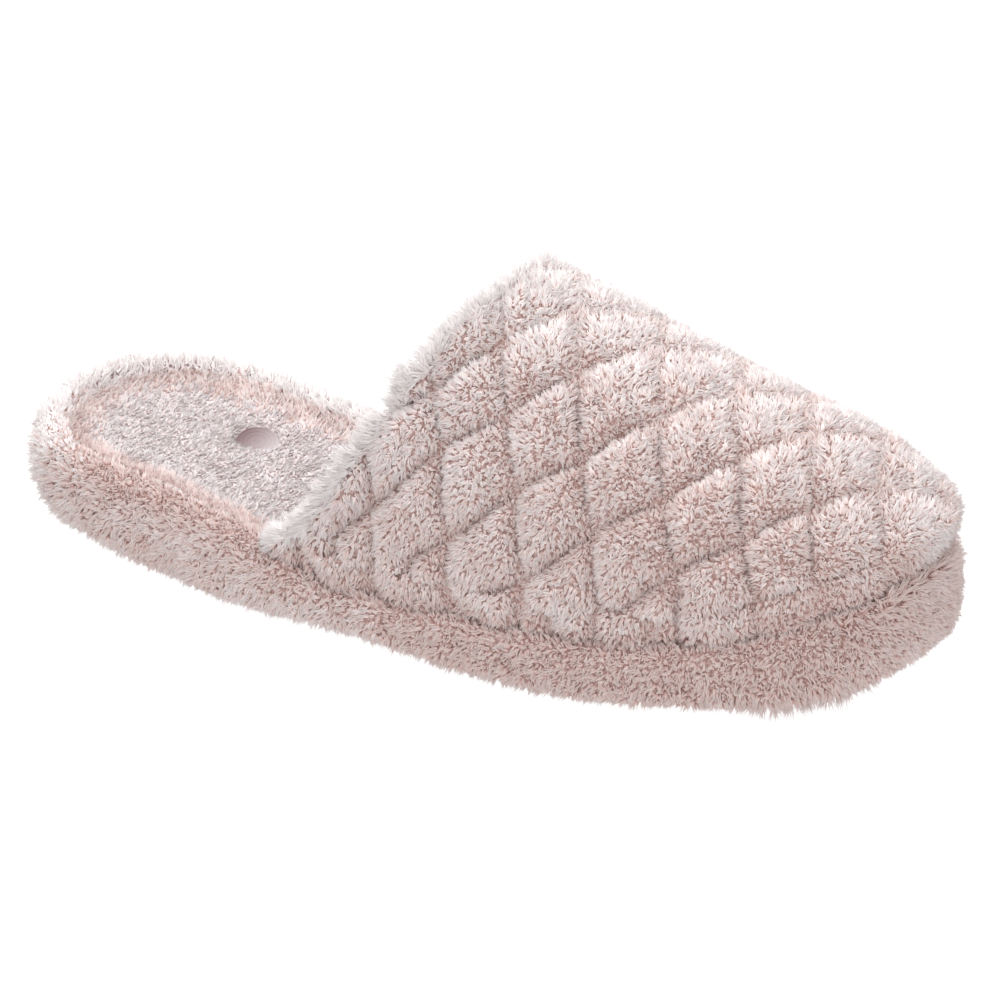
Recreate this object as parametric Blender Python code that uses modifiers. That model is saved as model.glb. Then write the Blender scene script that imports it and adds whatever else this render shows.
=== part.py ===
"""Plush quilted clog slipper for the right foot, standing on its sole on the floor z = 0.

The toe points along +X, the inner side of the foot is +Y and the outer side is -Y. Sizes are in
millimetres until a mesh is made. The plush pile, about 5 mm deep, counts in every outer wall.
"""

from collections import namedtuple

import bmesh
import bpy
import numpy as np

MM = 0.001
GAP = 0.3

# Overall sizes
LENGTH = 262.0
HEEL_ROUND = 43.0
HEEL_POWER = 2.3
TOE_ROUND = 95.0
TOE_POWER = 2.7

# Half widths of the plan either side of its middle line, a row for each station from heel to toe
Plan = namedtuple("Plan", "x outer inner middle")
PLAN = (
    Plan(-131, 39.5, 40.5, 6),
    Plan(-92, 39.5, 40.5, 5),
    Plan(-30, 49, 36, 1.6),
    Plan(45, 49.5, 48.5, 0.4),
    Plan(60, 49.5, 48.5, 0.6),
    Plan(131, 48.5, 47.5, 3),
)

# Heights above the floor: underside of the sole, top of the insole, top of the side strips, and
# the upper's top line before the toe is rounded off
Height = namedtuple("Height", "x under tread rim crown")
HEIGHT = (
    Height(-131, 6, 25.5, 30.5, 98),
    Height(-106, 0, 23.5, 27.6, 97.5),
    Height(-62, 0, 20.5, 24.6, 96),
    Height(-42, 1.2, 19.5, 24, 95),
    Height(-14, 2.2, 15.2, 16.4, 93.5),
    Height(5, 1.4, 14, 16.7, 91.7),
    Height(24, 0, 13.5, 17.1, 86.2),
    Height(64, 0, 13.5, 18.8, 71.8),
    Height(85, 1.2, 14.5, 21.8, 65.4),
    Height(105, 4, 17, 25.6, 60.8),
    Height(131, 9, 21, 34, 52),
)

# Upper
CORNER_X = -38.5
PEAK_X = 12.0
FAN_X = 85.0
ARCH_POWER = 2.28
COLLAR_POWER = 0.8
NOSE_X = 84.0
NOSE_POWER = 2.4
WALL = 7.0
TUCK = 2.0
BULGE_RISE = 8.0
BULGE_SHARE = 0.11

# Side strips, sole and insole
STRIP = 10.0
STRIP_ROUND = 6.0
STRIP_POWER = 2.8
STRIP_SHOULDER = 1.5
STRIP_LIFT = 0.8
SIDE_SEAM_X = 1.0
INSOLE = 5.0
INSOLE_SHOULDER = 2.0
SOLE_EDGE = 3.0

# Mesh steps
UPPER_STATIONS = 60
UPPER_RISE = 12
STRIP_STEP = 0.025
STRIP_BENDS = 8
PLAN_STATIONS = 76


def follow(table, column, x):
    """Value at x on a smooth curve through one column of a table, which never overshoots a row."""
    at = np.array([row.x for row in table], float)
    value = np.array([getattr(row, column) for row in table], float)
    step = np.diff(at)
    slope = np.diff(value) / step
    before, after = slope[:-1], slope[1:]
    same_way = before * after > 0
    total = np.where(same_way, before + after, 1.0)
    tangent = np.concatenate([slope[:1], np.where(same_way, 2 * before * after / total, 0.0), slope[-1:]])
    i = np.clip(np.searchsorted(at, x) - 1, 0, len(step) - 1)
    t = (x - at[i]) / step[i]
    rise = value[i] + (value[i + 1] - value[i]) * t * t * (3 - 2 * t)
    lean = tangent[i] * t * (1 - t) ** 2 - tangent[i + 1] * t * t * (1 - t)
    return rise + lean * step[i]


def rounded(t, power):
    """Quarter of a superellipse: 1 at t = 0, falling to 0 at t = 1."""
    return (1 - np.clip(t, 0, 1) ** power) ** (1 / power)


def half_width(x, side):
    width = np.where(side < 0, follow(PLAN, "outer", x), follow(PLAN, "inner", x))
    into_heel = (HEEL_ROUND - LENGTH / 2 - x) / HEEL_ROUND
    into_toe = (x - LENGTH / 2 + TOE_ROUND) / TOE_ROUND
    return width * rounded(into_heel, HEEL_POWER) * rounded(into_toe, TOE_POWER)


def outline(turn):
    """Plan point at a turn: 0 at the heel, up the outer side to the toe at 1, back up the inner side to 2."""
    x = -LENGTH / 2 * np.cos(np.pi * turn)
    side = np.where(np.mod(turn, 2) < 1, -1.0, 1.0)
    return np.stack([x, follow(PLAN, "middle", x) + side * half_width(x, side)], -1)


def inset_outline(turn, inset):
    """The outline moved square to itself towards the inside of the foot."""
    nudge = 1e-4
    along = outline(turn + nudge) - outline(turn - nudge)
    along /= np.linalg.norm(along, axis=-1, keepdims=True)
    inward = np.stack([-along[..., 1], along[..., 0]], -1)
    return outline(turn) + inward * np.asarray(inset)[..., None]


def turn_at(x):
    """Turn on the outer side at a given x."""
    return float(np.arccos(-2 * x / LENGTH) / np.pi)


def upper_height(x, y, side):
    """Height of the upper's outer face over a plan point, from its widest line upwards."""
    base = follow(HEIGHT, "rim", x) + BULGE_RISE
    across = np.abs(y - follow(PLAN, "middle", x)) / np.maximum(half_width(x, side), 1e-6)
    nose = rounded((x - NOSE_X) / (LENGTH / 2 - NOSE_X), NOSE_POWER)
    return base + (follow(HEIGHT, "crown", x) - base) * nose * rounded(across, ARCH_POWER)


def upper_rib(turn):
    """Points of the outer face from the seam on the side strip, over the widest line, up to the top line."""
    foot = outline(np.array([turn]))[0]
    seam = inset_outline(np.array([turn]), TUCK)[0]
    seam_z = follow(HEIGHT, "rim", foot[:1])[0] + GAP
    side = np.array(-1.0 if turn < 1 else 1.0)
    angle = np.linspace(0, np.pi / 2, UPPER_RISE + 1)
    spread = np.cos(angle) ** (2 / ARCH_POWER)
    spread[-1] = 0.0
    if foot[0] < FAN_X:
        # Ribs lean like the collar's edge, less and less towards the toe
        top_x = PEAK_X + (foot[0] - CORNER_X) * (FAN_X - PEAK_X) / (FAN_X - CORNER_X)
        share = BULGE_SHARE + (1 - BULGE_SHARE) * np.sin(angle) ** (2 / ARCH_POWER)
        x = foot[0] + (top_x - foot[0]) * share**COLLAR_POWER
        y = follow(PLAN, "middle", x) + side * half_width(x, side) * spread
    else:
        # Ribs fan out over the toe from one point of the top line
        middle = follow(PLAN, "middle", np.array(FAN_X))
        x = FAN_X + (foot[0] - FAN_X) * spread
        y = middle + (foot[1] - middle) * spread
    z = upper_height(x, y, side)
    return np.vstack([[*seam, seam_z], np.stack([x, y, z], -1)])


def strip_section(turn):
    """Section of a side strip at a turn: a plush roll with a flat inner face against the sole."""
    angle = np.linspace(-np.pi / 2, np.pi / 2, STRIP_BENDS + 1)
    swing = np.sign(np.sin(angle)) * np.abs(np.sin(angle)) ** (2 / STRIP_POWER)
    x = outline(np.array([turn]))[0, 0]
    low = follow(HEIGHT, "under", x) + STRIP_LIFT
    high = follow(HEIGHT, "rim", x)
    roll = STRIP_ROUND * (1 - np.abs(np.cos(angle)) ** (2 / STRIP_POWER))
    inset = np.concatenate([[STRIP], roll, [STRIP - STRIP_SHOULDER, STRIP]])
    z = np.concatenate([[low], (low + high + (high - low) * swing) / 2, [high, high - STRIP_SHOULDER]])
    return np.column_stack([inset_outline(np.full(len(inset), turn), inset), z])


def plan_ring(turns, inset, height):
    """A ring round the foot, a set distance inside the outline, at a height worked out from x."""
    return np.column_stack([inset_outline(turns, np.full(len(turns), inset)), height(outline(turns)[:, 0])])


def sole_top(x):
    return follow(HEIGHT, "tread", x) - INSOLE - GAP


def tread(x):
    return follow(HEIGHT, "tread", x)


def under(x):
    return follow(HEIGHT, "under", x)


def cover(name, color, roughness):
    """A matt Principled material for one piece."""
    material = bpy.data.materials.new(name)
    material.use_nodes = True
    shader = material.node_tree.nodes["Principled BSDF"]
    shader.inputs["Base Color"].default_value = (*color, 1.0)
    shader.inputs["Roughness"].default_value = roughness
    return material


def add_piece(name, bm, material):
    """Turns a bmesh in millimetres into a smooth-shaded object in metres."""
    bmesh.ops.scale(bm, vec=(MM, MM, MM), verts=bm.verts)
    bmesh.ops.recalc_face_normals(bm, faces=bm.faces)
    mesh = bpy.data.meshes.new(name)
    bm.to_mesh(mesh)
    bm.free()
    mesh.shade_smooth()
    mesh.set_sharp_from_angle(angle=np.radians(40))
    mesh.materials.append(material)
    piece = bpy.data.objects.new(name, mesh)
    slipper.objects.link(piece)
    return piece


def loft(bm, rings, ring_closed):
    """Joins each ring of points to the next with quads, and returns the rings' vertices."""
    made = [[bm.verts.new(point) for point in ring] for ring in rings]
    count = len(made[0])
    for lower, upper in zip(made, made[1:]):
        for i in range(count if ring_closed else count - 1):
            j = (i + 1) % count
            bm.faces.new((lower[i], lower[j], upper[j], upper[i]))
    return made


def ladder_cap(bm, ring):
    """Closes a foot-shaped ring with rungs from its outer side to its inner side."""
    half = len(ring) // 2
    for i in range(half):
        rung = [ring[i], ring[i + 1], ring[-i - 1], ring[-i]]
        bm.faces.new(list(dict.fromkeys(rung)))


def add_slab(name, rings, material):
    bm = bmesh.new()
    made = loft(bm, rings, ring_closed=True)
    ladder_cap(bm, made[0])
    ladder_cap(bm, made[-1])
    return add_piece(name, bm, material)


def add_sole():
    turns = np.linspace(0, 2, PLAN_STATIONS, endpoint=False)
    edge = STRIP + GAP
    rings = (
        plan_ring(turns, edge + SOLE_EDGE, under),
        plan_ring(turns, edge, lambda x: under(x) + SOLE_EDGE),
        plan_ring(turns, edge, sole_top),
    )
    return add_slab("sole", rings, cover("sole_cloth", (0.55, 0.47, 0.45), 0.9))


def add_insole():
    turns = np.linspace(0, 2, PLAN_STATIONS, endpoint=False)
    edge = STRIP + GAP
    rings = (
        plan_ring(turns, edge, lambda x: tread(x) - INSOLE),
        plan_ring(turns, edge, lambda x: tread(x) - INSOLE_SHOULDER),
        plan_ring(turns, edge + INSOLE_SHOULDER, tread),
    )
    return add_slab("insole", rings, cover("insole_plush", (0.72, 0.56, 0.53), 0.95))


def add_strip(name, start, end):
    """A side strip from one turn to another, with flat ends at its seams."""
    bm = bmesh.new()
    count = int(np.ceil((end - start) / STRIP_STEP)) + 1
    made = loft(bm, [strip_section(turn) for turn in np.linspace(start, end, count)], ring_closed=True)
    bm.faces.new(made[0])
    bm.faces.new(made[-1])
    return add_piece(name, bm, cover(name + "_plush", (0.74, 0.55, 0.52), 0.95))


def add_upper():
    first = turn_at(CORNER_X)
    bm = bmesh.new()
    bmesh.ops.create_grid(bm, x_segments=UPPER_RISE + 1, y_segments=UPPER_STATIONS, size=1)
    bm.verts.ensure_lookup_table()
    turns = np.linspace(first, 2 - first, UPPER_STATIONS + 1)
    points = np.concatenate([upper_rib(turn) for turn in turns])
    for vert, point in zip(bm.verts, points):
        vert.co = point
    bmesh.ops.remove_doubles(bm, verts=bm.verts, dist=0.001)
    piece = add_piece("upper", bm, cover("upper_plush", (0.78, 0.58, 0.55), 0.95))
    wall = piece.modifiers.new("wall", "SOLIDIFY")
    wall.thickness = WALL * MM
    wall.offset = -1
    wall.use_even_offset = True
    return piece


for old in list(bpy.data.objects):
    bpy.data.objects.remove(old)
slipper = bpy.data.collections.new("clog_slipper")
bpy.context.scene.collection.children.link(slipper)

seam = turn_at(SIDE_SEAM_X)
seam_gap = turn_at(SIDE_SEAM_X + GAP) - seam
add_sole()
add_insole()
add_strip("heel_wrap", -seam, seam)
add_strip("toe_wrap", seam + seam_gap, 2 - seam - seam_gap)
add_upper()
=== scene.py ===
"""Looks of the plush quilted clog slipper for the right foot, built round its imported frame.

The toe points along +X, the inner side of the foot is +Y and the outer side is -Y, and the floor is
z = 0. Shapes are worked out in millimetres and become metres when a mesh is made.
"""

from collections import namedtuple

import bmesh
import bpy
import numpy as np
from mathutils import Matrix, Vector
from mathutils.kdtree import KDTree


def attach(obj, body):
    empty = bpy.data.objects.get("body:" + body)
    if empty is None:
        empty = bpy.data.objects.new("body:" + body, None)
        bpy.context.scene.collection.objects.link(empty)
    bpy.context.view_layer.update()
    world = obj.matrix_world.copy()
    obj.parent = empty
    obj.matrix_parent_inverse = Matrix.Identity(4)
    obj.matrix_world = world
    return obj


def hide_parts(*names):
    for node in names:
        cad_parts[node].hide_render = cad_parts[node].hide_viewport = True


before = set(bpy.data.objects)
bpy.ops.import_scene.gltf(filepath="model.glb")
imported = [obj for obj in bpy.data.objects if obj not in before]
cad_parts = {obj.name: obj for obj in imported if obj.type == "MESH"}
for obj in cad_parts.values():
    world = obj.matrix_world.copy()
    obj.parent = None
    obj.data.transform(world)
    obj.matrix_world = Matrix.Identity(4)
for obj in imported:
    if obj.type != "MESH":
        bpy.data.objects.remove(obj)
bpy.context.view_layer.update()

# Camera
# A long lens looks down on the outer side from in front of the toe, as in the photograph. It aims a
# little below and to the toe side of the slipper's middle, and is rolled slightly.
MM = 0.001
AZIMUTH = np.radians(32.3)
ELEVATION = np.radians(23.76)
ROLL = np.radians(-1.35)
DISTANCE = 1572.0
TARGET = np.array([0.0, 0.0, 40.0])
AIM_RIGHT = 6.6
AIM_UP = -13.6
LENS = 224.1

back = np.array([
    np.sin(AZIMUTH) * np.cos(ELEVATION),
    -np.cos(AZIMUTH) * np.cos(ELEVATION),
    np.sin(ELEVATION),
])
level_right = np.array([np.cos(AZIMUTH), np.sin(AZIMUTH), 0.0])
level_up = np.cross(back, level_right)
right = level_right * np.cos(ROLL) + level_up * np.sin(ROLL)
up = level_up * np.cos(ROLL) - level_right * np.sin(ROLL)
stand = TARGET + back * DISTANCE
away = stand - (TARGET + right * AIM_RIGHT + up * AIM_UP)
away /= np.linalg.norm(away)
across = np.cross(up, away)
across /= np.linalg.norm(across)
camera = bpy.data.objects.new("camera", bpy.data.cameras.new("camera"))
bpy.context.scene.collection.objects.link(camera)
camera.data.lens = LENS
camera.data.sensor_width = 36.0
camera.data.clip_end = 20.0
turned = Matrix((across, np.cross(away, across), away)).transposed()
camera.matrix_world = Matrix.Translation(Vector(stand * MM)) @ turned.to_4x4()
bpy.context.scene.camera = camera

# Sole
# The soft platform under the foot: a slab of foam with a plain woven cloth underside, cut to the
# foot's outline. The side strips are pulled down round it and sewn to its lower edge.
GAP = 0.3
LENGTH = 262.0
HEEL_ROUND = 43.0
HEEL_POWER = 2.3
TOE_ROUND = 95.0
TOE_POWER = 2.7
STRIP = 10.0
INSOLE = 5.0
SOLE_EDGE = 3.0
SOLE_BEVEL = 0.3 * SOLE_EDGE
SOLE_STATIONS = 180
HEEL_LIFT = 3.2
HEEL_LIFT_X = (-90.0, -110.0)
SOLE_THREAD = (0.52, 0.40, 0.38)
SOLE_SHADE = (0.30, 0.21, 0.20)
WEAVE_PER_METRE = 900.0
WEAVE_HEIGHT = 0.25

Plan = namedtuple("Plan", "x outer inner middle")
PLAN = (
    Plan(-131, 39.5, 40.5, 6),
    Plan(-92, 39.5, 40.5, 5),
    Plan(-30, 49, 36, 1.6),
    Plan(45, 49.5, 48.5, 0.4),
    Plan(60, 49.5, 48.5, 0.6),
    Plan(131, 48.5, 47.5, 3),
)

# Heights above the floor: underside of the sole, top of the insole, top of the side strips, and
# the upper's top line before the toe is rounded off
Height = namedtuple("Height", "x under tread rim crown")
HEIGHT = (
    Height(-131, 6, 25.5, 30.5, 98),
    Height(-106, 0, 23.5, 27.6, 97.5),
    Height(-62, 0, 20.5, 24.6, 96),
    Height(-42, 1.2, 19.5, 24, 95),
    Height(-14, 2.2, 15.2, 16.4, 93.5),
    Height(5, 1.4, 14, 16.7, 91.7),
    Height(24, 0, 13.5, 17.1, 86.2),
    Height(64, 0, 13.5, 18.8, 71.8),
    Height(85, 1.2, 14.5, 21.8, 65.4),
    Height(105, 4, 17, 25.6, 60.8),
    Height(131, 9, 21, 34, 52),
)


def follow(table, column, x):
    """Value at x on a smooth curve through one column of a table, which never overshoots a row."""
    at = np.array([row.x for row in table], float)
    value = np.array([getattr(row, column) for row in table], float)
    step = np.diff(at)
    slope = np.diff(value) / step
    before, after = slope[:-1], slope[1:]
    same_way = before * after > 0
    total = np.where(same_way, before + after, 1.0)
    tangent = np.concatenate([slope[:1], np.where(same_way, 2 * before * after / total, 0.0), slope[-1:]])
    i = np.clip(np.searchsorted(at, x) - 1, 0, len(step) - 1)
    t = (x - at[i]) / step[i]
    rise = value[i] + (value[i + 1] - value[i]) * t * t * (3 - 2 * t)
    lean = tangent[i] * t * (1 - t) ** 2 - tangent[i + 1] * t * t * (1 - t)
    return rise + lean * step[i]


def rounded(t, power):
    """Quarter of a superellipse: 1 at t = 0, falling to 0 at t = 1."""
    return (1 - np.clip(t, 0, 1) ** power) ** (1 / power)


def ramp(value, none, full):
    """Share that is 0 at one value and 1 at another, with an even slope between them."""
    return np.clip((value - none) / (full - none), 0, 1)


def bell(value, middle, width):
    """Share that is 1 at a middle value and fades away on both sides of it."""
    return np.exp(-(((value - middle) / width) ** 2))


def half_width(x, side):
    width = np.where(side < 0, follow(PLAN, "outer", x), follow(PLAN, "inner", x))
    into_heel = (HEEL_ROUND - LENGTH / 2 - x) / HEEL_ROUND
    into_toe = (x - LENGTH / 2 + TOE_ROUND) / TOE_ROUND
    return width * rounded(into_heel, HEEL_POWER) * rounded(into_toe, TOE_POWER)


def side_of(turn):
    """-1 on the outer side of the foot and 1 on the inner side."""
    return np.where(np.mod(turn, 2) < 1, -1.0, 1.0)


def outline(turn):
    """Plan point at a turn: 0 at the heel, along the outer side to the toe at 1, and back to 2."""
    x = -LENGTH / 2 * np.cos(np.pi * turn)
    side = side_of(turn)
    return np.stack([x, follow(PLAN, "middle", x) + side * half_width(x, side)], -1)


def inset_outline(turn, inset):
    """The outline moved square to itself towards the inside of the foot."""
    nudge = 1e-4
    along = outline(turn + nudge) - outline(turn - nudge)
    along /= np.linalg.norm(along, axis=-1, keepdims=True)
    inward = np.stack([-along[..., 1], along[..., 0]], -1)
    return outline(turn) + inward * np.asarray(inset)[..., None]


def add_mesh(name, bm, material):
    """Turns a bmesh in millimetres into a smooth-shaded piece in metres that rides on the slipper."""
    bmesh.ops.scale(bm, vec=(MM, MM, MM), verts=bm.verts)
    mesh = bpy.data.meshes.new(name)
    bm.to_mesh(mesh)
    bm.free()
    mesh.shade_smooth()
    mesh.materials.append(material)
    piece = bpy.data.objects.new(name, mesh)
    bpy.context.scene.collection.objects.link(piece)
    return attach(piece, "root")


def loft(bm, rings, ring_closed):
    """Joins each ring of points to the next with quads, and returns the rings' vertices."""
    made = [[bm.verts.new(point) for point in ring] for ring in rings]
    count = len(made[0])
    for lower, upper in zip(made, made[1:]):
        for i in range(count if ring_closed else count - 1):
            j = (i + 1) % count
            bm.faces.new((lower[i], upper[i], upper[j], lower[j]))
    return made


def ladder_cap(bm, ring):
    """Closes a foot-shaped ring with rungs from its outer side to its inner side."""
    half = len(ring) // 2
    for i in range(half):
        rung = [ring[i], ring[i + 1], ring[-i - 1], ring[-i]]
        bm.faces.new(list(dict.fromkeys(rung)))


class Wire:
    """A socket in a material's node tree. Arithmetic on it adds Math nodes."""

    def __init__(self, tree, socket=None):
        self.tree = tree
        self.socket = socket

    def node(self, kind, settings, sockets, output=0):
        """Adds any kind of node: its settings first, then the values or links of its sockets."""
        made = self.tree.nodes.new("ShaderNode" + kind)
        for name, value in settings.items():
            setattr(made, name, value)
        for name, value in sockets.items():
            if isinstance(value, Wire):
                self.tree.links.new(value.socket, made.inputs[name])
            else:
                made.inputs[name].default_value = value
        return Wire(self.tree, made.outputs[output])

    def feed(self, shader, name):
        self.tree.links.new(self.socket, shader.inputs[name])

    def math(self, operation, first, second):
        return self.node("Math", {"operation": operation}, {0: first, 1: second})

    def between(self, first, second):
        """Colour between two, with this value as the share of the second."""
        return self.node("Mix", {"data_type": "RGBA"}, {0: self, 6: first, 7: second}, 2)

    def __add__(self, other):
        return self.math("ADD", self, other)

    __radd__ = __add__

    def __sub__(self, other):
        return self.math("SUBTRACT", self, other)

    def __rsub__(self, other):
        return self.math("SUBTRACT", other, self)

    def __mul__(self, other):
        return self.math("MULTIPLY", self, other)

    __rmul__ = __mul__

    def __pow__(self, other):
        return self.math("POWER", self, other)


def finish(name, roughness):
    """A new material with its shader and a wire to build its nodes from."""
    material = bpy.data.materials.new(name)
    material.use_nodes = True
    shader = material.node_tree.nodes["Principled BSDF"]
    shader.inputs["Roughness"].default_value = roughness
    shader.inputs["Specular IOR Level"].default_value = 0.2
    return material, shader, Wire(material.node_tree)


def woven_cloth(name, thread, gap_shade, per_metre, height):
    """Plain weave: threads over and under each other, with painted highlights on their crowns and painted
    shade between them, and a slubby tint.
    """
    material, shader, wire = finish(name, 0.9)
    place = wire.node("TexCoord", {}, {}, "Object")
    turns = {0: place, "Scale": np.pi * per_metre}
    scaled = wire.node("VectorMath", {"operation": "SCALE"}, turns)
    waves = []
    for axis in ("X", "Y"):
        along = wire.node("SeparateXYZ", {}, {0: scaled}, axis)
        waves.append(wire.node("Math", {"operation": "SINE"}, {0: along}))
    crown = 0.5 + 0.5 * (waves[0] * waves[1])
    slub = wire.node("TexNoise", {}, {"Vector": place, "Scale": 90.0, "Detail": 3.0})
    # Crowns painted paler and gaps darker: painted light and shade on the weave
    shade = crown * 0.7 + slub * 0.6 - 0.15
    shade.between((*gap_shade, 1.0), (*thread, 1.0)).feed(shader, "Base Color")
    bump = {"Height": crown, "Strength": 0.6, "Distance": height * MM}
    wire.node("Bump", {}, bump).feed(shader, "Normal")
    return material


def plan_ring(turns, inset, height):
    """A ring round the foot, a set distance inside the outline, at a height worked out from x."""
    ring = inset_outline(turns, np.full(len(turns), inset))
    return np.column_stack([ring, height(outline(turns)[:, 0])])


def sole_under(x):
    """Underside of the sole, rounded up at the back of the heel where the strip is pulled in."""
    return follow(HEIGHT, "under", x) + HEEL_LIFT * ramp(x, *HEEL_LIFT_X)


sole_turns = np.linspace(0, 2, SOLE_STATIONS, endpoint=False)
sole_edge = STRIP + GAP
bm = bmesh.new()
rows = loft(bm, (
    plan_ring(sole_turns, sole_edge + 2 * SOLE_EDGE, sole_under),
    plan_ring(sole_turns, sole_edge + SOLE_EDGE, sole_under),
    plan_ring(sole_turns, sole_edge + SOLE_BEVEL, lambda x: sole_under(x) + SOLE_BEVEL),
    plan_ring(sole_turns, sole_edge, lambda x: sole_under(x) + SOLE_EDGE),
    plan_ring(sole_turns, sole_edge, lambda x: follow(HEIGHT, "tread", x) - INSOLE - GAP),
), ring_closed=True)
ladder_cap(bm, rows[0])
ladder_cap(bm, rows[-1])
bmesh.ops.recalc_face_normals(bm, faces=bm.faces)
sole_cloth = woven_cloth("sole_cloth", SOLE_THREAD, SOLE_SHADE, WEAVE_PER_METRE, WEAVE_HEIGHT)
sole = add_mesh("sole_platform", bm, sole_cloth)
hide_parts("sole")

# Insole
# A plush sock over thin foam, sewn to the side strips all round. Its pile is short, pressed and
# combed across the foot, and a round spot ahead of the heel is stitched down into a dimple.
TREAD_PILE = 1.7
TREAD_SINK = 0.8
TREAD_ROWS = 221
TREAD_COLUMNS = 73
TREAD_SPACING = 0.85
TREAD_DISH = 3.2
TREAD_DISH_REACH = 14.0
TREAD_FOAM = 1.6
TREAD_STRANDS = {"fibres": 6, "tuft": 0.5, "thick": 0.21}
SEAM_OVERLAP = 0.6
EDGE_POINTS = 400
EDGE_REACH = 11.0
EDGE_NEAR_Y = -12.0
EDGE_LEAN = np.array([0.1, -0.5, 0.5])
EDGE_LEAN_SHARE = 0.7
EDGE_FLUFF = 1.6
COVERED_X = 60.0
COVERED_SHARE = 0.25
COMB = np.array([0.25, 0.95, 0.0])
COMB_SHARE = 0.8
TREAD_SWAY = np.array([0.2, 0.2, 0.0])
TREAD_SWAY_SIZE = 9.0
STREAK_ALONG = np.array([0.4, 0.92])
STREAK_ACROSS = np.array([0.92, -0.4])
STREAK_FINE = 8.0
STREAK_SIZE = 13.0
INSOLE_SEED = 11

# The stitched spot, with radii as shares of its own: where the pile starts, and the dimple's wall
SPOT = np.array([-75.9, 14.3])
SPOT_RADIUS = 5.1
SPOT_SKIRT = 0.6
SPOT_SINK = 3.0
SPOT_FILL = 1.7
SPOT_DISH = 0.6
SPOT_TILT = 0.3
SPOT_OPEN = 0.86
SPOT_WALL = 1.2
SPOT_WALL_WIDTH = 0.3
SPOT_FADE = 0.35
SPOT_FAR = np.array([-0.53, 0.85])
SPOT_DARK = np.array([-1.0, 0.08])
RING_STEP = 0.9
THREAD_LOW = (0.42, 0.37, 0.38, 1.0)
THREAD_HIGH = (0.45, 0.395, 0.405, 1.0)
THREAD_SHADE = (0.17, 0.105, 0.11, 1.0)

# Pile of any kind: how evenly tufts are thrown, and how far strands stray from their tuft
CROWDING = 2.5
KEEP_CLEAR = 0.87
STEM_SPREAD = 0.32
LENGTH_SPREAD = 0.1
STRAY = 0.12
TONE_SPREAD = 0.14
LOWEST = 0.3
CLIMB = 0.65
# Each set's roots are darker than its tips: partly the plush's own colour, partly painted shade deep in the
# pile
Dye = namedtuple("Dye", "dusty_root pale_root dusty_tip pale_tip")
BLUSH = Dye((0.58, 0.36, 0.32), (0.85, 0.70, 0.675), (0.87, 0.755, 0.73), (0.905, 0.875, 0.87))
PRESSED = Dye((0.56, 0.44, 0.435), (0.70, 0.60, 0.60), (0.74, 0.70, 0.70), (0.81, 0.80, 0.81))


def unit(vectors):
    return vectors / np.maximum(np.linalg.norm(vectors, axis=-1, keepdims=True), 1e-9)


def face_normals(points):
    """Normal at each node of a grid of points, from its neighbours along both ways of the grid."""
    along = np.gradient(points, axis=0)
    across = np.gradient(points, axis=1)
    return unit(np.cross(along, across))


def drift(points, size, seed):
    """Smooth random values about 0 over points, mostly within 1, that change over a given size."""
    random = np.random.default_rng(seed)
    waves = 7
    total = np.zeros(points.shape[:-1])
    for _ in range(waves):
        way = unit(random.normal(size=3)) * 2 * np.pi / size * random.uniform(0.6, 1.5)
        total += np.sin(points @ way + random.uniform(0, 2 * np.pi))
    return total / np.sqrt(waves)


def sway(points, size, seed):
    """Smooth random directions over points, for pile that leans in patches."""
    return np.stack([drift(points, size, seed + k) for k in range(3)], -1)


def mottled(points, middle, patchy, size, seed, specks, random):
    """Tones about a middle one: patches of a given size, and specks from tuft to tuft."""
    return middle + patchy * drift(points, size, seed) + random.normal(size=len(points)) * specks


def keep(spots, chosen):
    """The chosen ones of scattered spots."""
    return spots[0][chosen], spots[1][chosen]


def scatter(points, spacing, random):
    """Spots spread evenly over a grid of points, as rows and columns with fractions.

    More spots are thrown than needed, then those too close to one that stays are dropped.
    """
    edge = points[1:, :-1] - points[:-1, :-1]
    other = points[:-1, 1:] - points[:-1, :-1]
    far_edge = points[1:, 1:] - points[:-1, 1:]
    area = np.linalg.norm(np.cross((edge + far_edge) / 2, other), axis=-1)
    upto = np.cumsum(area.ravel())
    count = int(CROWDING * upto[-1] / spacing**2)
    picks = (np.arange(count) + random.random(count)) * upto[-1] / count
    cell = np.minimum(np.searchsorted(upto, picks), area.size - 1)
    row, column = np.divmod(cell, area.shape[1])
    spots = (row + random.random(count), column + random.random(count))
    place = read(points, spots)
    tree = KDTree(count)
    for i, point in enumerate(place):
        tree.insert(point, i)
    tree.balance()
    kept = np.ones(count, bool)
    for i in random.permutation(count):
        if kept[i]:
            close = [j for _, j, _ in tree.find_range(place[i], KEEP_CLEAR * spacing)]
            kept[close] = False
            kept[i] = True
    return keep(spots, kept)


def read(grid, spots):
    """Values of a grid at spots between its nodes."""
    row, column = spots
    i = np.clip(row.astype(int), 0, grid.shape[0] - 2)
    j = np.clip(column.astype(int), 0, grid.shape[1] - 2)
    shape = (-1,) + (1,) * (grid.ndim - 2)
    u = (row - i).reshape(shape)
    v = (column - j).reshape(shape)
    near = grid[i, j] * (1 - v) + grid[i, j + 1] * v
    far = grid[i + 1, j] * (1 - v) + grid[i + 1, j + 1] * v
    return near * (1 - u) + far * u


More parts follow.
